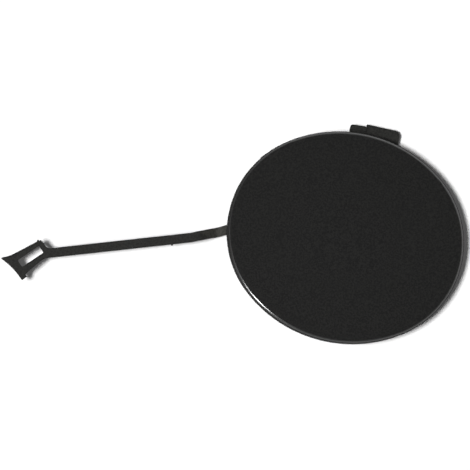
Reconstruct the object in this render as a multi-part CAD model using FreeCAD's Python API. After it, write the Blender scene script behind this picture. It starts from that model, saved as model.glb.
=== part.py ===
# A blanking cover for the tow hook opening of a car bumper, with its captive strap.
#
# It is one injection moulding in black plastic: a slightly crowned oval face with a turned-down
# lip, a collar on its back that drops into the bumper's opening, a rigid hook and two small lugs
# that go behind the bumper skin first, two sprung clips opposite them, and a thin strap that ends
# in a fishtail anchor with a window.
#
# The frame: +X along the long axis of the oval face, +Y towards the hook, +Z out of the face.
# The origin is under the middle of the face, on the plane of the collar's rim that it lies on.
# All sizes are in millimetres and degrees.

import FreeCAD, Part
import math
import os

from FreeCAD import Placement, Rotation, Vector

# The face's outline is an oval of four tangent arcs. Each end arc runs to where the outline has
# turned by the join angle from the long axis.
face_length = 80.0
face_width = 70.7
join_angle = 52.9

# Face plate and the lip turned down round it
cover_depth = 13.0
crown_radius = 360.0
face_wall = 2.4
edge_round = 1.05
lip_wall = 1.6
root_chamfer = 0.6

# Collar on the back, which stands below the lip and carries the cover, and the ribs inside it
collar_inset = 6.6
collar_wall = 1.8
collar_drop = 6.2
rim_chamfer = 0.35
rib_wall = 1.2
rib_depth = 2.6
rib_pitch = 14.0
ribs_each_way = 3

# Bumper skin held between the lip and whatever grips behind it
skin_gap = 2.8

# Rigid hook: a wide tongue, set a little to one side of the direction that it points in. Its other
# end is cut back along the outline, and a claw rises there.
hook_direction = 92.0
hook_side = 2.8
hook_width = 16.9
hook_reach = 4.0
hook_thickness = 2.0
hook_corner = 1.9
claw_width = 5.4
claw_reach = 3.1
claw_rise = 1.1
claw_wall = 1.6
claw_corner = 0.7

# Small rigid lugs either side of the hook
lug_directions = (36.0, 140.0)
lug_width = 6.0
lug_reach = 0.25
lug_corner = 0.8

# Sprung clips opposite the hook
clip_directions = (243.0, 293.0)
clip_width = 9.0
clip_slot = 1.3
clip_slot_height = 7.0
nose_width = 7.6
nose_reach = 1.7
nose_land = 0.5
nose_undercut = 0.4
nose_lead = 0.4

# Strap: it leaves the collar low, rises past the lip and runs straight to its anchor
strap_width = 3.15
strap_thickness = 1.8
strap_corner = 0.3
strap_direction = 186.0
strap_heading = 212.7
strap_low_level = 3.0
strap_lip_gap = 0.3
strap_rise_angle = 46.0
strap_rise_radius = 3.2
strap_rise = 5.6
strap_first_turn = 5.0
strap_second_turn = 7.0
strap_turn_radius = 24.0
strap_run = 43.35

# Anchor at the strap's end: a flat plate with a window and a fishtail cut askew. The strap's
# last stretch is moulded flat with it and meets it at a turn, to one side of its middle.
anchor_turn = 27.6
anchor_shift = 2.7
anchor_stub = 3.0
anchor_length = 13.8
anchor_near_width = 5.6
anchor_near_corner = 0.9
anchor_waist_width = 7.7
anchor_waist_at = 10.2
anchor_tail_width = 9.9
anchor_tail_skew = 10.0
anchor_tail_hollow = 0.5
anchor_near_tip_land = 1.6
anchor_far_tip_land = 0.7
anchor_web = 1.2
window_length = 8.6
window_width = 2.7
window_bar = 1.8
window_corner = 0.4

# Values that follow from those above
half_length = face_length / 2
half_width = face_width / 2
half_turn = 180.0
lip_floor = collar_drop
grip_level = lip_floor - skin_gap
tongue_floor = grip_level - hook_thickness
collar_middle = collar_inset + collar_wall / 2
rib_floor = cover_depth - face_wall - rib_depth
above = cover_depth + face_wall
past = 1.0
up = Vector(0, 0, 1)


def toward(angle):
    """The level unit vector that points at an angle turned from +X towards +Y."""
    return Vector(math.cos(math.radians(angle)), math.sin(math.radians(angle)), 0)


def oval_arcs():
    """The outline's arcs as (centre, radius, first direction, last direction).

    A direction is the angle of the outward normal. Over each quarter an end arc turns through the
    join angle and a flank arc through the rest, and the two share a tangent where they meet.
    """
    sine = math.sin(math.radians(join_angle))
    cosine = math.cos(math.radians(join_angle))
    share = sine + cosine - 1
    end = (half_width * cosine - (1 - sine) * half_length) / share
    flank = (half_length * sine - (1 - cosine) * half_width) / share
    end_centre = Vector(half_length - end, 0, 0)
    flank_centre = Vector(0, half_width - flank, 0)
    return [
        (end_centre, end, -join_angle, join_angle),
        (flank_centre, flank, join_angle, half_turn - join_angle),
        (-end_centre, end, half_turn - join_angle, half_turn + join_angle),
        (-flank_centre, flank, half_turn + join_angle, 2 * half_turn - join_angle),
    ]


def outline_arc(angle):
    """The centre and radius of the outline arc whose outward normal takes a direction."""
    for centre, radius, first, last in oval_arcs():
        if first <= angle <= last or first <= angle - 2 * half_turn <= last:
            return centre, radius
    raise ValueError("no arc faces that way")


def wall_point(angle, inset, level=0.0):
    """The point of the outline moved in by an inset, where its normal takes a direction."""
    centre, radius = outline_arc(angle)
    return centre + toward(angle) * (radius - inset) + up * level


def oval_prism(inset, floor, ceiling):
    """A solid between two levels, bounded by the outline moved in by an inset."""
    edges = []
    for centre, radius, first, last in oval_arcs():
        middle = (first + last) / 2
        ends = [centre + toward(a) * (radius - inset) + up * floor for a in (first, middle, last)]
        edges.append(Part.Arc(*ends).toShape())
    return Part.Face(Part.Wire(edges)).extrude(up * (ceiling - floor))


def below_crown(depth):
    """The space under the crowned face, or under its inside at a depth below it.

    The ball's poles lie on the Y axis, away from the face.
    """
    radius = crown_radius - depth
    ball = Part.makeSphere(radius, Vector(0, 0, 0), Vector(0, 0, 1))
    turn = Rotation(Vector(1, 0, 0), half_turn / 2)
    ball.Placement = Placement(Vector(0, 0, cover_depth - crown_radius), turn)
    return ball


def level_edges(shape, floor):
    """The edges of a shape that lie above a level and don't stand upright."""
    chosen = []
    for edge in shape.Edges:
        box = edge.BoundBox
        upright = box.XLength + box.YLength < box.ZLength
        if box.ZMin > floor and not upright:
            chosen.append(edge)
    return chosen


def block(angle, inset, outward, width, floor, height, across=0.0):
    """A box that stands on the wall where the wall's normal takes a direction.

    It starts at the inset and reaches outward by a length. Its width lies across the direction,
    centred on it or moved across by a distance.
    """
    box = Part.makeBox(outward, width, height, Vector(0, across - width / 2, floor))
    box.Placement = Placement(wall_point(angle, inset), Rotation(up, angle))
    return box


def rounded_rectangle(width, height, corner):
    """A level rectangle centred on the origin, with rounded corners."""
    arcs = []
    for index, (side, end) in enumerate(((1, 1), (-1, 1), (-1, -1), (1, -1))):
        centre = Vector(side * (width / 2 - corner), end * (height / 2 - corner), 0)
        first = index * half_turn / 2
        ends = [centre + toward(first + turn) * corner for turn in (0, half_turn / 4, half_turn / 2)]
        arcs.append(Part.Arc(*ends))
    edges = []
    for index, arc in enumerate(arcs):
        edges.append(arc.toShape())
        edges.append(Part.LineSegment(arc.EndPoint, arcs[index - 3].StartPoint).toShape())
    return Part.Face(Part.Wire(edges))


def level_wire(*edges):
    """A closed outline of lines and arcs, each given by its two or three points in order."""
    curves = []
    for points in edges:
        curve = Part.Arc(*points) if len(points) > 2 else Part.LineSegment(*points)
        curves.append(curve.toShape())
    return Part.Wire(curves)


def face_and_lip():
    """The crowned face with its rounded edge and the lip below it, still solid behind."""
    blank = oval_prism(0, lip_floor, above).common(below_crown(0))
    return blank.makeFillet(edge_round, level_edges(blank, lip_floor + edge_round))


def collar_core():
    """The solid core of the collar down to its rim, which has a chamfered lead-in."""
    core = oval_prism(collar_inset, 0, lip_floor + face_wall)
    rim = [edge for edge in core.Edges if edge.BoundBox.ZMax < rim_chamfer]
    return core.makeChamfer(rim_chamfer, rim)


def groove():
    """The annular hollow between the lip and the collar, bevelled where it meets the face."""
    outer = oval_prism(lip_wall, lip_floor - past, above)
    inner = oval_prism(collar_inset, lip_floor - past, above)
    hollow = outer.cut(inner).common(below_crown(face_wall))
    return hollow.makeChamfer(root_chamfer, level_edges(hollow, lip_floor))


def pocket():
    """The hollow inside the collar, bevelled at the face, less the ribs that cross it."""
    hollow = oval_prism(collar_inset + collar_wall, -past, above).common(below_crown(face_wall))
    hollow = hollow.makeChamfer(root_chamfer, level_edges(hollow, lip_floor))
    middle = (ribs_each_way - 1) / 2
    for index in range(ribs_each_way):
        side = (index - middle) * rib_pitch - rib_wall / 2
        along = Part.makeBox(2 * face_length, rib_wall, above, Vector(-face_length, side, rib_floor))
        cross = Part.makeBox(rib_wall, 2 * face_length, above, Vector(side, -face_length, rib_floor))
        hollow = hollow.cut(along).cut(cross)
    return hollow


def outer_corners(body, angle, across, reach, corner):
    """The upright edges at a tongue's outer corner, which lies across its direction."""
    chosen = []
    for edge in body.Edges:
        box = edge.BoundBox
        offset = edge.CenterOfMass - wall_point(angle, 0)
        beside = abs(offset.dot(toward(angle + half_turn / 2)) - across) < corner / 2
        outside = offset.dot(toward(angle)) > reach / 2 - corner
        if box.ZLength > hook_thickness / 2 > box.ZMin - tongue_floor and beside and outside:
            chosen.append(edge)
    return chosen


def tongue(angle, width, reach, across=0.0):
    """A rigid tongue from the collar to beyond the outline, which grips behind the bumper skin."""
    slab = block(angle, half_width, half_width + reach, width, tongue_floor, hook_thickness, across)
    return slab.cut(oval_prism(collar_middle, tongue_floor, grip_level))


def lug(angle):
    """A small tongue with rounded outer corners."""
    body = tongue(angle, lug_width, lug_reach)
    corners = []
    for side in (-1, 1):
        corners += outer_corners(body, angle, side * lug_width / 2, lug_reach, lug_corner)
    return body.makeFillet(lug_corner, corners)


def hook():
    """The wide tongue of the hook, cut back at one end, where a claw rises from its outer edge."""
    across = (hook_width - claw_width) / 2 - hook_side
    ceiling = grip_level + claw_rise
    height = ceiling - tongue_floor
    end = block(hook_direction, half_width, 2 * half_width, claw_width, tongue_floor, height, across)
    follow = oval_prism(-claw_reach, tongue_floor, ceiling)
    ridge = follow.cut(oval_prism(claw_wall - claw_reach, tongue_floor, ceiling)).common(end)
    body = tongue(hook_direction, hook_width, hook_reach, -hook_side).cut(end.cut(follow))
    body = body.fuse(ridge).removeSplitter()
    for side, reach, corner in ((1, claw_reach, claw_corner), (-1, hook_reach, hook_corner)):
        across = side * hook_width / 2 - hook_side
        body = body.makeFillet(corner, outer_corners(body, hook_direction, across, reach, corner))
    return body


def clip_slots(angle):
    """The two slots in the collar that free a clip at its sides, up to its root."""
    slots = []
    for side in (-1, 1):
        across = side * (clip_width + clip_slot) / 2
        slots.append(block(angle, collar_inset + collar_wall + past, collar_wall + 2 * past,
                           clip_slot, -past, clip_slot_height + past, across))
    return slots


def clip_nose(angle):
    """The nose on a clip: a lead-in ramp, a short land and a sloping catch at the grip level."""
    wall = collar_wall / 2
    tip = wall + nose_reach
    profile = [(0, nose_lead), (wall, nose_lead), (tip, grip_level - nose_land), (tip, grip_level),
               (wall, grip_level + nose_undercut), (0, grip_level + nose_undercut)]
    corners = [Vector(outward, -nose_width / 2, level) for outward, level in profile]
    outline = Part.makePolygon(corners + corners[:1])
    nose = Part.Face(outline).extrude(Vector(0, nose_width, 0))
    nose.Placement = Placement(wall_point(angle, collar_middle), Rotation(up, angle))
    return nose


class Strip:
    """A moulded strip, walked forward along its own X axis by straight runs and round bends."""

    def __init__(self, section, place):
        self.section = section
        self.place = place
        self.pieces = []

    def add(self, solid, step):
        """Keep the next stretch and move to its end."""
        solid.Placement = self.place
        self.pieces.append(solid)
        self.place = self.place.multiply(step)

    def run(self, length):
        """Go straight on."""
        forward = Vector(length, 0, 0)
        self.add(self.section.extrude(forward), Placement(forward, Rotation()))

    def bend(self, turn, radius, side):
        """Turn round a centre that lies to a side: left, right, up or down."""
        centre = side * radius
        axis = Vector(1, 0, 0).cross(side)
        step = Placement(Vector(0, 0, 0), Rotation(axis, turn), centre)
        self.add(self.section.revolve(centre, axis, turn), step)


def strap():
    """The strap's stretches from the collar's wall to the anchor, and the place where it ends."""
    left, right = Vector(0, 1, 0), Vector(0, -1, 0)
    section = rounded_rectangle(strap_width, strap_thickness, strap_corner)
    section.Placement = Placement(Vector(0, 0, 0), Rotation(Vector(1, 1, 1), 2 * half_turn / 3))
    root = wall_point(strap_direction, collar_middle, strap_low_level)
    strip = Strip(section, Placement(root, Rotation(up, strap_heading)))

    centre, radius = outline_arc(strap_direction)
    offset = root - centre - up * strap_low_level
    ahead = offset.dot(toward(strap_heading))
    clear = radius + strap_lip_gap
    strip.run(math.sqrt(ahead ** 2 - offset.Length ** 2 + clear ** 2) - ahead)

    angle = math.radians(strap_rise_angle)
    slope = (strap_rise - 2 * strap_rise_radius * (1 - math.cos(angle))) / math.sin(angle)
    strip.bend(strap_first_turn, strap_turn_radius, right)
    strip.bend(strap_rise_angle, strap_rise_radius, up)
    strip.run(slope)
    strip.bend(strap_rise_angle, strap_rise_radius, -up)
    strip.bend(strap_second_turn, strap_turn_radius, right)
    strip.run(strap_run)
    return strip.pieces, strip.place


def crossing(first, ahead, second, other):
    """The level point where a line through the first point meets a line through the second."""
    across = Vector(-other.y, other.x, 0)
    return first + ahead * ((second - first).dot(across) / ahead.dot(across))


def corner_arc(before, corner, after, reach):
    """The start, middle and end of the arc that rounds a corner from a reach along each side."""
    back = (before - corner).normalize()
    on = (after - corner).normalize()
    half = back.getAngle(on) / 2
    inward = (back + on).normalize()
    middle = corner + inward * (reach / math.cos(half) - reach * math.tan(half))
    return corner + back * reach, middle, corner + on * reach


def tangent_arc(start, ahead, end):
    """The start, middle and end of the arc that leaves its start straight ahead."""
    span = end - start
    across = Vector(-ahead.y, ahead.x, 0)
    centre = start + across * (span.dot(span) / (2 * span.dot(across)))
    middle = ((start + end) / 2 - centre).normalize() * (start - centre).Length
    return start, centre + middle, end


def anchor():
    """The anchor and the strap's last stretch as one flat piece, and where that stretch begins.

    The plate's near end lies across the piece's own X axis. It widens to its waist, and its two
    wings end at a hollow tail edge that is cut askew.
    """
    near, waist, tail = anchor_near_width / 2, anchor_waist_width / 2, anchor_tail_width / 2
    ahead, left = toward(-anchor_turn), toward(half_turn / 2 - anchor_turn)
    begin = Vector(0, anchor_shift, 0) - ahead * anchor_stub
    right_begin, left_begin = begin - left * (strap_width / 2), begin + left * (strap_width / 2)

    askew = math.tan(math.radians(anchor_tail_skew))
    sides, waists, tips, lands, wings = {}, {}, {}, {}, {}
    for side in (-1, 1):
        waists[side] = Vector(anchor_waist_at, side * waist, 0)
        sides[side] = (waists[side] - Vector(0, side * near, 0)).normalize()
        tips[side] = Vector(anchor_length - side * tail * askew, side * tail, 0)
        land = anchor_near_tip_land if side > 0 else anchor_far_tip_land
        lands[side] = tips[side] - Vector(land, 0, 0)
        wings[side] = tangent_arc(waists[side], sides[side], lands[side])

    start = Vector(0, anchor_near_corner - near, 0)
    corner = crossing(start, toward(-half_turn / 4), waists[-1], sides[-1])
    right_inner = crossing(right_begin, ahead, start, Vector(0, 1, 0))
    left_inner = crossing(left_begin, ahead, waists[1], sides[1])
    right_arc = corner_arc(right_begin, right_inner, start, anchor_web)
    left_arc = corner_arc(waists[1], left_inner, left_begin, anchor_web)
    hollow = Vector(anchor_length - anchor_tail_hollow, 0, 0)
    outline = level_wire(
        (left_begin, right_begin), (right_begin, right_arc[0]), right_arc, (right_arc[2], start),
        (start, corner), (corner, waists[-1]), wings[-1], (lands[-1], tips[-1]),
        (tips[-1], hollow, tips[1]), (tips[1], lands[1]), wings[1][::-1],
        (waists[1], left_arc[0]), left_arc, (left_arc[2], left_begin),
    )
    plate = Part.Face(outline).extrude(up * strap_thickness)
    level = []
    for edge in plate.Edges:
        along = (edge.CenterOfMass - begin).dot(ahead)
        if edge.BoundBox.ZLength < strap_thickness / 2 and along > strap_corner / 2:
            level.append(edge)
    plate = plate.makeFillet(strap_corner, level)
    window = rounded_rectangle(window_length, window_width, window_corner)
    window.translate(Vector(window_bar + window_length / 2, 0, 0))
    plate = plate.cut(window.extrude(up * strap_thickness))
    plate.translate(up * (-strap_thickness / 2))
    return plate, begin


def strap_and_anchor():
    """The strap with the anchor at its end, turned off the strap's line."""
    pieces, end = strap()
    piece, begin = anchor()
    turned = Placement(Vector(0, 0, 0), Rotation(up, anchor_turn))
    place = end.multiply(turned).multiply(Placement(-begin, Rotation()))
    piece.Placement = place.multiply(piece.Placement)
    return pieces[0].fuse(pieces[1:] + [piece])


def tow_hook_cover():
    """The whole moulding as one solid."""
    shell = face_and_lip().fuse(collar_core()).cut(groove()).cut(pocket())
    grips = [hook()]
    for angle in lug_directions:
        grips.append(lug(angle))
    for angle in clip_directions:
        shell = shell.cut(clip_slots(angle))
        grips.append(clip_nose(angle))
    return shell.fuse(grips + [strap_and_anchor()]).removeSplitter()


os.makedirs("parts", exist_ok=True)
cover = tow_hook_cover()
box = cover.BoundBox
print(f"tow_hook_cover: {len(cover.Solids)} solid, {cover.Volume / 1000:.2f} cm3, "
      f"{box.XLength:.1f} x {box.YLength:.1f} x {box.ZLength:.1f} mm, "
      f"{len(cover.Faces)} faces, valid {cover.isValid()}")
cover.exportStep("parts/tow_hook_cover.step")
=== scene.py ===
"""A bumper tow hook cover in black moulded polypropylene, lying face up on a pale surface.

The solid model is the frame, and every size here is in metres in that frame. The classes below
dress it: the moulding itself, the marks that the mould leaves on it, the studio and the place of
the photograph's camera.
"""

import logging
import math
from dataclasses import dataclass, field
from enum import Enum

import bpy
import numpy as np
from mathutils import Matrix, Vector


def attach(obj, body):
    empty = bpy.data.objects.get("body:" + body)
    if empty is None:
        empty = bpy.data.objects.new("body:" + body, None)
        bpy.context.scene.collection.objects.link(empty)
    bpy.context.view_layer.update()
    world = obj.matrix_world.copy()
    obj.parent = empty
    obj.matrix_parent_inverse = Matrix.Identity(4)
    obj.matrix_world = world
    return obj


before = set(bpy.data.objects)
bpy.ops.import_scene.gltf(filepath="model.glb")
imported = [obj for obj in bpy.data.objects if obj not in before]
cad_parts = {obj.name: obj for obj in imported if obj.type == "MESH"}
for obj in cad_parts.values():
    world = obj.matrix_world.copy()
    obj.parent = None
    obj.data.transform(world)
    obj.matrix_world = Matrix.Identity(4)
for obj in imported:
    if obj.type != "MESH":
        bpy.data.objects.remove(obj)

log = logging.getLogger("tow_hook_cover")
MM = 0.001
NODE = "tow_hook_cover"
PICTURE_TURN = -14.29    # degrees from the frame's +X to where the photograph shows it


def linear(hex_colour: str) -> tuple[float, float, float, float]:
    """Turns an sRGB hex colour into linear values.

    Args:
        hex_colour: A colour such as "#1c1c1c".

    Returns:
        Linear red, green and blue, and an alpha of one.
    """
    parts = [int(hex_colour[i:i + 2], 16) / 255 for i in (1, 3, 5)]
    made = [p / 12.92 if p <= 0.04045 else ((p + 0.055) / 1.055) ** 2.4 for p in parts]
    return (*made, 1.0)


def add_node(tree: bpy.types.NodeTree, kind: str, links: dict | None = None,
             **settings: object) -> bpy.types.Node:
    """Adds a shader node with its settings and links.

    Args:
        tree: The node tree that it goes into.
        kind: Blender's name of the node's type.
        links: An output socket, or a plain value, for each input by name or number.
        settings: The node's own properties.

    Returns:
        The new node.
    """
    node = tree.nodes.new(kind)
    for name, value in settings.items():
        setattr(node, name, value)
    for name, value in (links or {}).items():
        if isinstance(value, bpy.types.NodeSocket):
            tree.links.new(value, node.inputs[name])
        else:
            node.inputs[name].default_value = value
    return node


def empty_tree(owner: bpy.types.ID) -> bpy.types.NodeTree:
    """Gives a material or world an empty node tree.

    Args:
        owner: The material or world.

    Returns:
        Its node tree, cleared.
    """
    owner.use_nodes = True
    owner.node_tree.nodes.clear()
    return owner.node_tree


@dataclass(frozen=True)
class MouldedPolypropylene:
    """Black polypropylene, injection moulded against spark-eroded steel.

    The grain of the steel breaks up the light, so the eye sees an even, deep black with a faint
    mottle. The eased edge has a smoother skin, which draws a thin line of light round the rim.
    The back is plainer and a little smoother than the face. What the steel was like is a guess
    from how the plastic looks in the photograph.

    The strap beside the lip carries painted light: a paler colour that lifts the shade on its
    slope, which faces away from the lamp and whose shape is a guess.
    """

    name: str = "moulded_polypropylene"
    face_colour: str = "#0d0d0d"
    face_fleck: str = "#1b1b1a"
    plain_colour: str = "#1b1b1a"
    plain_fleck: str = "#282826"
    # the strap by the lip, whose bending is a guess
    painted_light_colour: str = "#343431"          # painted light: paler on the strap by the lip, lifting the shade of its slope
    painted_light_fleck: str = "#474642"
    painted_light_centre: tuple[float, float, float] = (-44.3 * MM, -7.1 * MM, 5.4 * MM)
    painted_light_reach: tuple[float, float] = (4.0 * MM, 6.4 * MM)    # the painted light is full within, none beyond
    ior: float = 1.49
    shine: float = 0.12                   # the grain hides most of what such a plastic mirrors
    face_roughness: float = 0.78
    plain_roughness: float = 0.72
    skin_ior: float = 1.65                # above the plastic's own, for the rim's line of light
    skin_roughness: float = 0.18
    skin_slopes: tuple[float, float] = (12.0, 17.5)    # degrees, well past the crown's own
    skin_fades: tuple[float, float] = (42.0, 54.0)     # where it gives way to the lip's side
    skin_starts: float = 0.84             # as a share of the way out to the outline
    show_reach: tuple[float, float] = (41.5 * MM, 37.0 * MM)    # an oval just past the outline
    show_floor: float = 5.9 * MM          # a little below the lip's lower edge
    grain: float = 0.45 * MM              # a real grain of about 0.1 mm is too fine to show
    grain_depth: float = 0.012 * MM
    grain_detail: float = 3.0
    grain_harshness: float = 0.6
    fleck: float = 0.6 * MM
    fleck_detail: float = 4.0
    fleck_harshness: float = 0.7
    fleck_span: tuple[float, float] = (0.43, 0.57)     # of the noise, from ground to full fleck

    def build(self) -> bpy.types.Material:
        """Makes the material.

        Returns:
            The finished material.
        """
        made = bpy.data.materials.new(self.name)
        tree = empty_tree(made)
        place = add_node(tree, "ShaderNodeTexCoord").outputs["Object"]
        reach = add_node(tree, "ShaderNodeVectorMath", {
            0: place, 1: (1 / self.show_reach[0], 1 / self.show_reach[1], 0)},
            operation="MULTIPLY").outputs["Vector"]
        reach = add_node(tree, "ShaderNodeVectorMath", {0: reach},
                         operation="LENGTH").outputs["Value"]
        show = self.show_side(tree, place, reach)
        grain = add_node(tree, "ShaderNodeTexNoise", {
            "Vector": place, "Scale": 1 / self.grain, "Detail": self.grain_detail,
            "Roughness": self.grain_harshness})
        bump = add_node(tree, "ShaderNodeBump", {
            "Height": grain.outputs["Fac"], "Distance": self.grain_depth, "Strength": 1.0})
        roughness = add_node(tree, "ShaderNodeMix", {
            0: show, 2: self.plain_roughness, 3: self.face_roughness})
        surface = add_node(tree, "ShaderNodeBsdfPrincipled", {
            "Base Color": self.colouring(tree, place, show), "Normal": bump.outputs["Normal"],
            "IOR": self.ior, "Specular IOR Level": self.shine,
            "Roughness": roughness.outputs[0], "Coat Weight": self.skin(tree, reach, show),
            "Coat Roughness": self.skin_roughness, "Coat IOR": self.skin_ior})
        add_node(tree, "ShaderNodeOutputMaterial", {"Surface": surface.outputs["BSDF"]})
        return made

    def show_side(self, tree: bpy.types.NodeTree, place: bpy.types.NodeSocket,
                  reach: bpy.types.NodeSocket) -> bpy.types.NodeSocket:
        """Marks the face and the outside of its lip, which lie high and within the outline.

        Args:
            tree: The material's node tree.
            place: The socket that gives the place on the piece.
            reach: The socket that gives how far out that is, where one is just past the outline.

        Returns:
            A socket that is one there and nought elsewhere.
        """
        height = add_node(tree, "ShaderNodeSeparateXYZ", {0: place}).outputs["Z"]
        high = add_node(tree, "ShaderNodeMath", {0: height, 1: self.show_floor},
                        operation="GREATER_THAN").outputs[0]
        near = add_node(tree, "ShaderNodeMath", {0: reach, 1: 1.0}, operation="LESS_THAN")
        return add_node(tree, "ShaderNodeMath", {0: high, 1: near.outputs[0]},
                        operation="MULTIPLY").outputs[0]

    def colouring(self, tree: bpy.types.NodeTree, place: bpy.types.NodeSocket,
                  show: bpy.types.NodeSocket) -> bpy.types.NodeSocket:
        """Mottles the plastic, which is darkest on the face, with painted light that makes it
        palest on the strap by the lip.

        Each patch of colour is laid over the ones before it.

        Args:
            tree: The material's node tree.
            place: The socket that gives the place on the piece.
            show: The socket that marks the show side.

        Returns:
            The socket that gives the colour.
        """
        mottle = add_node(tree, "ShaderNodeTexNoise", {
            "Vector": place, "Scale": 1 / self.fleck, "Detail": self.fleck_detail,
            "Roughness": self.fleck_harshness})
        spread = add_node(tree, "ShaderNodeMapRange", {
            "Value": mottle.outputs["Fac"], "From Min": self.fleck_span[0],
            "From Max": self.fleck_span[1]}).outputs[0]
        # painted light: the strap turns paler towards the lip, to lift the shade on its slope
        away = add_node(tree, "ShaderNodeVectorMath", {0: place, 1: self.painted_light_centre},
                        operation="DISTANCE").outputs["Value"]
        painted_light_share = add_node(tree, "ShaderNodeMapRange", {
            "Value": away, "From Min": self.painted_light_reach[1],
            "From Max": self.painted_light_reach[0]}).outputs[0]
        colour = linear(self.plain_colour)
        for where, base, fleck in ((1.0, self.plain_colour, self.plain_fleck),
                                   (painted_light_share, self.painted_light_colour, self.painted_light_fleck),
                                   (show, self.face_colour, self.face_fleck)):
            patch = add_node(tree, "ShaderNodeMix", {
                0: spread, 6: linear(base), 7: linear(fleck)}, data_type="RGBA").outputs[2]
            colour = add_node(tree, "ShaderNodeMix", {0: where, 6: colour, 7: patch},
                              data_type="RGBA").outputs[2]
        return colour

    def skin(self, tree: bpy.types.NodeTree, reach: bpy.types.NodeSocket,
             show: bpy.types.NodeSocket) -> bpy.types.NodeSocket:
        """Marks the eased edge by its slope, where it lies far out on the show side.

        Args:
            tree: The material's node tree.
            reach: The socket that gives how far out the place is.
            show: The socket that marks the show side.

        Returns:
            A socket that is one on that skin and nought elsewhere.
        """
        slope = add_node(tree, "ShaderNodeNewGeometry").outputs["Normal"]
        level = add_node(tree, "ShaderNodeSeparateXYZ", {0: slope}).outputs["Z"]
        marked = show
        for gentle, steep, starts in ((*self.skin_slopes, 0.0), (*self.skin_fades, 1.0)):
            band = add_node(tree, "ShaderNodeMapRange", {
                "Value": level, "From Min": math.cos(math.radians(gentle)),
                "From Max": math.cos(math.radians(steep)), "To Min": starts,
                "To Max": 1.0 - starts}).outputs[0]
            marked = add_node(tree, "ShaderNodeMath", {0: marked, 1: band},
                              operation="MULTIPLY").outputs[0]
        far = add_node(tree, "ShaderNodeMath", {0: reach, 1: self.skin_starts},
                       operation="GREATER_THAN").outputs[0]
        return add_node(tree, "ShaderNodeMath", {0: marked, 1: far},
                        operation="MULTIPLY").outputs[0]


@dataclass(frozen=True)
class WhiteCard:
    """Matt white card, which photographs as pure white and keeps the object's shadow."""

    name: str = "white_card"
    colour: str = "#ffffff"
    lift: float = 0.03

    def build(self) -> bpy.types.Material:
        """Makes the material. What is seen or mirrored of it is lifted by a faint light of its own.

        Returns:
            The finished material.
        """
        made = bpy.data.materials.new(self.name)
        tree = empty_tree(made)
        rays = add_node(tree, "ShaderNodeLightPath").outputs
        seen = 0.0
        for kind in ("Is Camera Ray", "Is Glossy Ray", "Is Transmission Ray"):
            seen = add_node(tree, "ShaderNodeMath", {0: seen, 1: rays[kind]},
                            operation="MAXIMUM").outputs[0]
        lift = add_node(tree, "ShaderNodeMath", {0: seen, 1: self.lift}, operation="MULTIPLY")
        glow = add_node(tree, "ShaderNodeEmission", {
            "Color": linear(self.colour), "Strength": lift.outputs[0]})
        card = add_node(tree, "ShaderNodeBsdfDiffuse", {"Color": linear(self.colour)})
        both = add_node(tree, "ShaderNodeAddShader", {0: card.outputs[0], 1: glow.outputs[0]})
        add_node(tree, "ShaderNodeOutputMaterial", {"Surface": both.outputs[0]})
        return made


class Seen(Enum):
    """What a lamp is for: lighting the scene, or only showing in glossy surfaces."""

    LIGHT = "light"
    REFLECTION = "reflection"


@dataclass
class Lamp:
    """A soft lamp that faces the cover from a direction given as the photograph shows it."""

    name: str
    bearing: float        # degrees, from the photograph's right towards its top
    tilt: float           # degrees off the vertical
    size: tuple[float, float]    # across the bearing, then along it
    level: float          # its irradiance on the floor over pi, of which a white card needs 1
    seen: Seen = Seen.LIGHT
    distance: float = 1.2

    def build(self) -> bpy.types.Object:
        """Places the lamp.

        Returns:
            The lamp's object.
        """
        data = bpy.data.lights.new(self.name, "AREA")
        data.shape = "ELLIPSE"
        data.size, data.size_y = self.size
        # A flat lamp gives its watts / (pi * distance squared) straight ahead, and less by the
        # cosine on a tilted floor. A white card shows as 1 where it gets pi.
        facing = math.cos(math.radians(self.tilt))
        data.energy = self.level * math.pi * math.pi * self.distance ** 2 / facing
        lamp = bpy.data.objects.new(self.name, data)
        bpy.context.scene.collection.objects.link(lamp)
        azimuth = math.radians(self.bearing - PICTURE_TURN)
        slant = math.radians(self.tilt)
        away = Vector((math.sin(slant) * math.cos(azimuth), math.sin(slant) * math.sin(azimuth),
                       math.cos(slant)))
        across = Vector((-math.sin(azimuth), math.cos(azimuth), 0))
        place = Matrix((across, away.cross(across), away)).transposed().to_4x4()
        place.translation = away * self.distance
        lamp.matrix_world = place
        lamp.visible_camera = False
        if self.seen is Seen.REFLECTION:
            lamp.visible_diffuse = False
        return lamp


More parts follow.
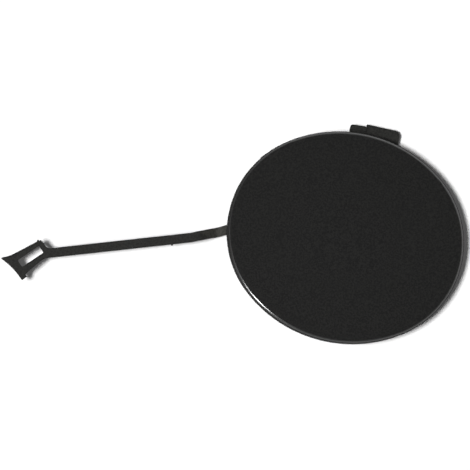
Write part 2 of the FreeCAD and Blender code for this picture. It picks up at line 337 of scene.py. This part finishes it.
@dataclass
class Studio:
    """A white card under the cover, a soft lamp high on its left, and a pale room round about.

    A second lamp shows only in glossy surfaces, for the highlight on the rim.
    """

    floor_reach: float = 1.5
    ambient: float = 0.08                 # what the room gives to matt surfaces
    overhead: float = 0.15                # what glossy ones mirror from above
    horizon: float = 1.15                 # and from low down, before the sides
    dimmest: float = 0.12                 # the least that a side leaves of it
    # each side's bearing in degrees, its sharpness and what it adds
    sides: tuple[tuple[float, float, float], ...] = ((60.0, 1.0, 0.45), (163.0, 5.0, -2.4))
    card_top: tuple[float, float] = (0.5, 0.8)    # sines of the rise where low turns to above
    lamps: list[Lamp] = field(default_factory=lambda: [
        Lamp("key", 193.0, 16.6, (1.7, 1.3), 0.98, distance=8.0),
        Lamp("rim_card", 220.2, 43.0, (0.13, 0.4), 0.43, Seen.REFLECTION),
    ])

    def build(self) -> None:
        """Builds the floor, the room and the lamps."""
        reach = self.floor_reach
        mesh = bpy.data.meshes.new("floor")
        corners = [(-reach, -reach, 0), (reach, -reach, 0), (reach, reach, 0), (-reach, reach, 0)]
        mesh.from_pydata(corners, [], [(0, 1, 2, 3)])
        mesh.materials.append(WhiteCard().build())
        floor = bpy.data.objects.new("floor", mesh)
        bpy.context.scene.collection.objects.link(floor)
        self.build_room()
        for lamp in self.lamps:
            lamp.build()
            log.info("lamp %s at %.0f degrees off the vertical", lamp.name, lamp.tilt)

    def build_room(self) -> None:
        """Makes the world: white to the eye, and as a mirror shows it, bright low and dim high.

        What it mirrors low down is a pale ring, to which each side adds its amount times a power
        of the cosine of the direction's angle from that side's middle. A side never leaves less
        than the dimmest.
        """
        world = bpy.data.worlds.new("room")
        bpy.context.scene.world = world
        tree = empty_tree(world)
        way = add_node(tree, "ShaderNodeTexCoord").outputs["Generated"]
        axes = add_node(tree, "ShaderNodeSeparateXYZ", {0: way}).outputs
        ring = self.horizon
        for bearing, sharpness, amount in self.sides:
            azimuth = math.radians(bearing - PICTURE_TURN)
            side = add_node(tree, "ShaderNodeVectorMath", {
                0: way, 1: (math.cos(azimuth), math.sin(azimuth), 0)},
                operation="DOT_PRODUCT").outputs["Value"]
            for operation, value in (("MAXIMUM", 0.0), ("POWER", sharpness),
                                     ("MULTIPLY", amount), ("ADD", ring),
                                     ("MAXIMUM", self.dimmest)):
                side = add_node(tree, "ShaderNodeMath", {0: side, 1: value},
                                operation=operation).outputs[0]
            ring = side
        shown = add_node(tree, "ShaderNodeMapRange", {
            "Value": axes["Z"], "From Min": self.card_top[0], "From Max": self.card_top[1],
            "To Min": ring, "To Max": self.overhead}).outputs[0]
        rays = add_node(tree, "ShaderNodeLightPath").outputs
        strength = self.ambient
        for kind, brightness in (("Is Glossy Ray", shown), ("Is Transmission Ray", shown),
                                 ("Is Camera Ray", 1.0)):
            strength = add_node(tree, "ShaderNodeMix", {
                0: rays[kind], 2: strength, 3: brightness}).outputs[0]
        back = add_node(tree, "ShaderNodeBackground", {
            "Color": linear("#ffffff"), "Strength": strength})
        add_node(tree, "ShaderNodeOutputWorld", {"Surface": back.outputs[0]})


@dataclass
class Viewpoint:
    """The photograph's camera, which looks down on the face with a slight lean."""

    picture: int = 470                    # pixels along each side
    face_at: tuple[float, float] = (345.68, 237.46)    # where it has the face's middle
    face_level: float = 9.75 * MM
    scale: float = 2.983 / MM             # pixels to a metre at the face's level
    lean: tuple[float, float] = (-2.65, -3.39)    # degrees towards the picture's right and top
    distance: float = 1.5
    farthest: float = 6.0                 # what lies beyond isn't drawn
    sensor: float = 36.0                  # millimetres, as the lens is

    def build(self) -> bpy.types.Object:
        """Places the camera so that the face's middle falls where the photograph has it.

        Returns:
            The camera, set as the scene's own.
        """
        data = bpy.data.cameras.new("viewpoint")
        data.sensor_width = self.sensor
        data.lens = self.sensor * self.distance / (self.picture / self.scale)
        data.clip_end = self.farthest
        camera = bpy.data.objects.new("viewpoint", data)
        bpy.context.scene.collection.objects.link(camera)
        turned = Matrix.Rotation(math.radians(-PICTURE_TURN), 3, "Z")
        back = Vector((*[math.tan(math.radians(a)) for a in self.lean], 1)).normalized()
        right = Vector((0, 1, 0)).cross(back).normalized()
        above = back.cross(right)
        back, right, above = turned @ back, turned @ right, turned @ above
        middle = self.picture / 2
        across = (middle - self.face_at[0]) / self.scale
        up = (self.face_at[1] - middle) / self.scale
        target = Vector((0, 0, self.face_level)) + right * across + above * up
        place = Matrix((right, above, back)).transposed().to_4x4()
        place.translation = target + back * self.distance
        camera.matrix_world = place
        bpy.context.scene.camera = camera
        return camera


def shell(name: str, rows: np.ndarray) -> bpy.types.Object:
    """Makes a closed mesh from rings of points, of which the first and the last are one point each.

    Each ring joins the next with four-sided faces, and a fan of triangles closes either end.

    Args:
        name: The piece's name.
        rows: Points as an array of rings, points in a ring and coordinates.

    Returns:
        The piece, at the origin.
    """
    count = rows.shape[1]
    inner = rows[1:-1]
    points = np.concatenate((rows[0, :1], inner.reshape(-1, 3), rows[-1, :1]))
    first = 1 + np.arange(count)
    beside = 1 + (np.arange(count) + 1) % count
    rings = np.arange(len(inner) - 1)[:, None] * count
    sides = np.stack((rings + first, rings + count + first, rings + count + beside,
                      rings + beside), axis=-1)
    last = (len(inner) - 1) * count
    end = len(points) - 1
    opening = np.stack((np.zeros(count, int), first, beside), axis=-1)
    closing = np.stack((last + beside, last + first, np.full(count, end)), axis=-1)
    mesh = bpy.data.meshes.new(name)
    mesh.from_pydata(points.tolist(), [],
                     opening.tolist() + sides.reshape(-1, 4).tolist() + closing.tolist())
    mesh.polygons.foreach_set("use_smooth", np.ones(len(mesh.polygons), bool))
    mesh.update()
    piece = bpy.data.objects.new(name, mesh)
    bpy.context.scene.collection.objects.link(piece)
    return piece


def seat(piece: bpy.types.Object, finish: bpy.types.Material) -> None:
    """Lets a piece ride with the moulding, in the moulding's own plastic.

    Args:
        piece: The piece.
        finish: The plastic.
    """
    piece.data.materials.append(finish)
    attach(piece, "root")
    log.info("%s: %d faces", piece.name, len(piece.data.polygons))


@dataclass
class Moulding:
    """The cover itself, the one solid node of the frame, in its own plastic."""

    node: str = NODE

    def dress(self, finish: bpy.types.Material) -> None:
        """Gives the node its finish.

        Args:
            finish: The plastic.
        """
        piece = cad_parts[self.node]
        piece.data.materials.clear()
        piece.data.materials.append(finish)
        log.info("%s: %d faces", piece.name, len(piece.data.polygons))

    def above(self, x: float, y: float) -> Vector:
        """Gives the point of the moulding that is met first, going straight up from the floor."""
        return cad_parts[self.node].ray_cast(Vector((x, y, 0)), Vector((0, 0, 1)))[1]

    def nearest(self, place: tuple[float, float, float]) -> tuple[Vector, Vector]:
        """Gives the point of the moulding that is nearest to a place, and its outward normal."""
        return tuple(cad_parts[self.node].closest_point_on_mesh(Vector(place))[1:3])


@dataclass
class InsideMarks:
    """What the mould leaves inside the cover: the rings of its ejector pins and the gate's stub."""

    moulding: Moulding
    # the pins' places in millimetres, each of which has another opposite it
    pins: tuple[tuple[float, float], ...] = ((21, 7), (7, 21), (21, -7), (7, -21))
    pin_radius: float = 2.25 * MM
    ring_height: float = 0.2 * MM
    ring_width: float = 0.4 * MM
    ring_rows: tuple[int, int] = (4, 28)  # out along the sunk side, and back along the ridge
    rim_power: int = 8
    clear: float = 0.01 * MM              # how far the level middle stands off the face
    sunk: float = 0.06 * MM
    gate: tuple[float, float] = (-7, 7)   # in millimetres too
    gate_radius: float = 1.0 * MM
    gate_height: float = 0.6 * MM
    gate_taper: float = 0.25
    gate_rows: tuple[int, int] = (8, 6)   # down the cone, and in across its end
    end_reach: float = 0.7                # the end's outer row, as a share of the radius
    end_level: tuple[float, float] = (1.05, 0.8)    # shares of the height, from rim to middle
    tear: float = 0.12
    tear_waves: tuple[tuple[int, float, float], ...] = ((3, 1.0, 0.0), (7, 0.6, 1.0))
    steps: int = 48

    def build(self, finish: bpy.types.Material) -> None:
        """Makes the rings on the face's inside, two by two, and the stub.

        Args:
            finish: The plastic.
        """
        for side in (1, -1):
            for number, (x, y) in enumerate(self.pins, start=1):
                name = f"ejector_ring_{number if side > 0 else number + len(self.pins)}"
                centre = self.moulding.above(side * x * MM, side * y * MM)
                seat(shell(name, self.ring(centre)), finish)
        centre = self.moulding.above(self.gate[0] * MM, self.gate[1] * MM)
        seat(shell("gate_stub", self.stub(centre)), finish)

    def ring(self, centre: Vector) -> np.ndarray:
        """Works out a pin's mark: a low round ridge about a level middle.

        The height goes as a bell curve of the distance from the ridge's crest, less a high power
        of the distance from the middle, which sinks the outer rim.

        Args:
            centre: The point of the surface under the mark's middle.

        Returns:
            The rings of points, from the sunk middle out and back along the ridge.
        """
        hidden, shown = self.ring_rows
        out = np.concatenate((np.linspace(0, self.pin_radius, hidden),
                              np.linspace(self.pin_radius, 0, shown)))
        crest = self.pin_radius - self.ring_width
        drop = self.ring_height * np.exp(-((out - crest) / (self.ring_width / 2)) ** 2)
        drop[:hidden] = -self.sunk
        drop[hidden:] -= self.sunk * (out[hidden:] / self.pin_radius) ** self.rim_power - self.clear
        return self.turned(centre, out, drop)

    def stub(self, centre: Vector) -> np.ndarray:
        """Works out the gate's stub: a short cone with a torn, uneven end.

        The tear is a sum of waves round the axis, given by how many go round, how high they are
        and where they start, and it grows with the distance from the middle.

        Args:
            centre: The point of the surface under the stub's middle.

        Returns:
            The rings of points, from the sunk middle out and down to the torn end.
        """
        down, across = self.gate_rows
        share = np.linspace(0, 1, down)
        out = np.concatenate((
            [0, self.gate_radius], self.gate_radius * (1 - self.gate_taper * share),
            self.gate_radius * np.linspace(self.end_reach, 0, across)))
        drop = np.concatenate(([-self.sunk, -self.sunk], self.gate_height * share,
                               self.gate_height * np.linspace(*self.end_level, across)))
        rows = self.turned(centre, out, drop)
        turn = np.linspace(0, 2 * np.pi, self.steps, endpoint=False)
        torn = self.tear * self.gate_height * sum(
            height * np.sin(count * turn + start) for count, height, start in self.tear_waves)
        end = slice(down + 1, -1)             # from the cone's last row to the row before the tip
        rows[end, :, 2] -= torn * (out[end, None] / self.gate_radius)
        return rows

    def turned(self, centre: Vector, out: np.ndarray, drop: np.ndarray) -> np.ndarray:
        """Carries a profile round an upright axis.

        Args:
            centre: The point from which the profile is measured.
            out: Each profile point's distance from the axis.
            drop: How far each lies below the centre.

        Returns:
            The rings of points.
        """
        turn = np.linspace(0, 2 * np.pi, self.steps, endpoint=False)
        rows = np.empty((len(out), self.steps, 3))
        rows[..., 0] = centre.x + out[:, None] * np.cos(turn)
        rows[..., 1] = centre.y + out[:, None] * np.sin(turn)
        rows[..., 2] = centre.z - drop[:, None]
        return rows


@dataclass
class PartingLine:
    """The fine raised line round the lip, where the two halves of the mould met.

    It follows the face's outline, an oval of four tangent arcs, and runs out at the two ends of
    the long axis.
    """

    half_length: float = 40.0 * MM
    half_width: float = 35.35 * MM
    join: float = math.radians(52.9)      # where an end arc hands over to a flank arc
    level: float = 6.55 * MM
    proud: float = 0.07 * MM
    fade: float = math.radians(7.0)
    rings: int = 180
    steps: int = 8

    def outline(self, way: np.ndarray) -> np.ndarray:
        """Works out where the outline's outward normal points a given way.

        An arc's point is its centre plus its radius times the normal. The end arcs' centres lie
        on the long axis and the flank arcs' on the short one.

        Args:
            way: The normal's angles from the long axis.

        Returns:
            The points' two coordinates, as the last axis.
        """
        sine, cosine = math.sin(self.join), math.cos(self.join)
        share = sine + cosine - 1
        end = (self.half_width * cosine - (1 - sine) * self.half_length) / share
        flank = (self.half_length * sine - (1 - cosine) * self.half_width) / share
        at_end = np.abs(np.cos(way)) > cosine
        radius = np.where(at_end, end, flank)
        centre_x = np.where(at_end, np.sign(np.cos(way)) * (self.half_length - end), 0)
        centre_y = np.where(at_end, 0, np.sign(np.sin(way)) * (self.half_width - flank))
        return np.stack((centre_x + radius * np.cos(way), centre_y + radius * np.sin(way)), -1)

    def build(self, finish: bpy.types.Material) -> None:
        """Makes one bead along each side of the cover.

        The bead's section is a circle centred on the wall, half of it sunk. Its radius swells
        from nothing over the fade at either end.

        Args:
            finish: The plastic.
        """
        for name, start in (("parting_line_hook_side", 0.0), ("parting_line_clip_side", np.pi)):
            way = start + np.linspace(self.fade, np.pi - self.fade, self.rings)
            run = np.linspace(0, np.pi - 2 * self.fade, self.rings)
            swell = np.clip(np.minimum(run, run[::-1]) / self.fade, 0, 1)[:, None]
            turn = np.linspace(0, 2 * np.pi, self.steps, endpoint=False)
            middle = self.outline(way)[:, None, :]
            normal = np.stack((np.cos(way), np.sin(way)), -1)[:, None, :]
            out = (self.proud * swell * np.cos(turn))[..., None]
            rows = np.empty((self.rings, self.steps, 3))
            rows[..., :2] = middle + normal * out
            rows[..., 2] = self.level + self.proud * swell * np.sin(turn)
            seat(shell(name, rows), finish)


@dataclass
class StrapPips:
    """Small bumps that the photograph shows on the strap and its anchor.

    They are taken to be pips of plastic, left where the part was snapped free.
    """

    moulding: Moulding
    places: dict[str, tuple[float, float, float]] = field(default_factory=lambda: {
        "anchor_pip_near": (-98.7 * MM, -26.1 * MM, 8.6 * MM),
        "anchor_pip_side": (-99.7 * MM, -26.5 * MM, 8.6 * MM),
        "anchor_pip_tip": (-100.6 * MM, -39.3 * MM, 8.6 * MM),
        "strap_pip": (-55.8 * MM, -16.8 * MM, 8.6 * MM),
    })
    half_width: float = 0.36 * MM
    half_height: float = 0.6 * MM
    proud: float = 0.4 * MM
    sunk: float = 0.2 * MM
    squareness: int = 4
    rings: int = 14
    steps: int = 24

    def build(self, finish: bpy.types.Material) -> None:
        """Seats each pip on the edge that is nearest to its place.

        Args:
            finish: The plastic.
        """
        for name, place in self.places.items():
            seat(shell(name, self.peg(*self.moulding.nearest(place))), finish)

    def peg(self, foot: Vector, out: Vector) -> np.ndarray:
        """Works out a pip: a peg that stands out level, with an oval section and a rounded end.

        Its width goes as the fourth root of one less the fourth power of the way along it, and
        its rows crowd towards the rounded end.

        Args:
            foot: The point of the edge that it stands on.
            out: The edge's outward normal there.

        Returns:
            The rings of points, from the sunk end to the rounded one.
        """
        away = np.array((out.x, out.y, 0)) / math.hypot(out.x, out.y)
        aside = np.array((away[1], -away[0], 0))
        along = np.concatenate(([0], 1 - np.linspace(1, 0, self.rings - 1) ** 2))
        wide = (1 - along ** self.squareness) ** (1 / self.squareness)
        wide = wide * (np.arange(self.rings) > 0)
        turn = np.linspace(0, 2 * np.pi, self.steps, endpoint=False)
        step = (self.sunk + self.proud) * along - self.sunk
        rows = np.array(foot) + away * step[:, None, None]
        rows = rows + aside * (self.half_width * wide[:, None] * np.cos(turn))[..., None]
        upright = self.half_height * wide[:, None] * np.sin(turn)
        return rows + np.array((0, 0, 1)) * upright[..., None]


def main() -> None:
    """Builds the scene in order and reports each piece."""
    logging.basicConfig(level=logging.INFO, format="%(name)s: %(message)s")
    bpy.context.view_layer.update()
    bpy.context.scene.view_settings.view_transform = "Standard"
    plastic = MouldedPolypropylene().build()
    moulding = Moulding()
    moulding.dress(plastic)
    InsideMarks(moulding).build(plastic)
    PartingLine().build(plastic)
    StrapPips(moulding).build(plastic)
    Studio().build()
    Viewpoint().build()


if __name__ == "__main__":
    main()
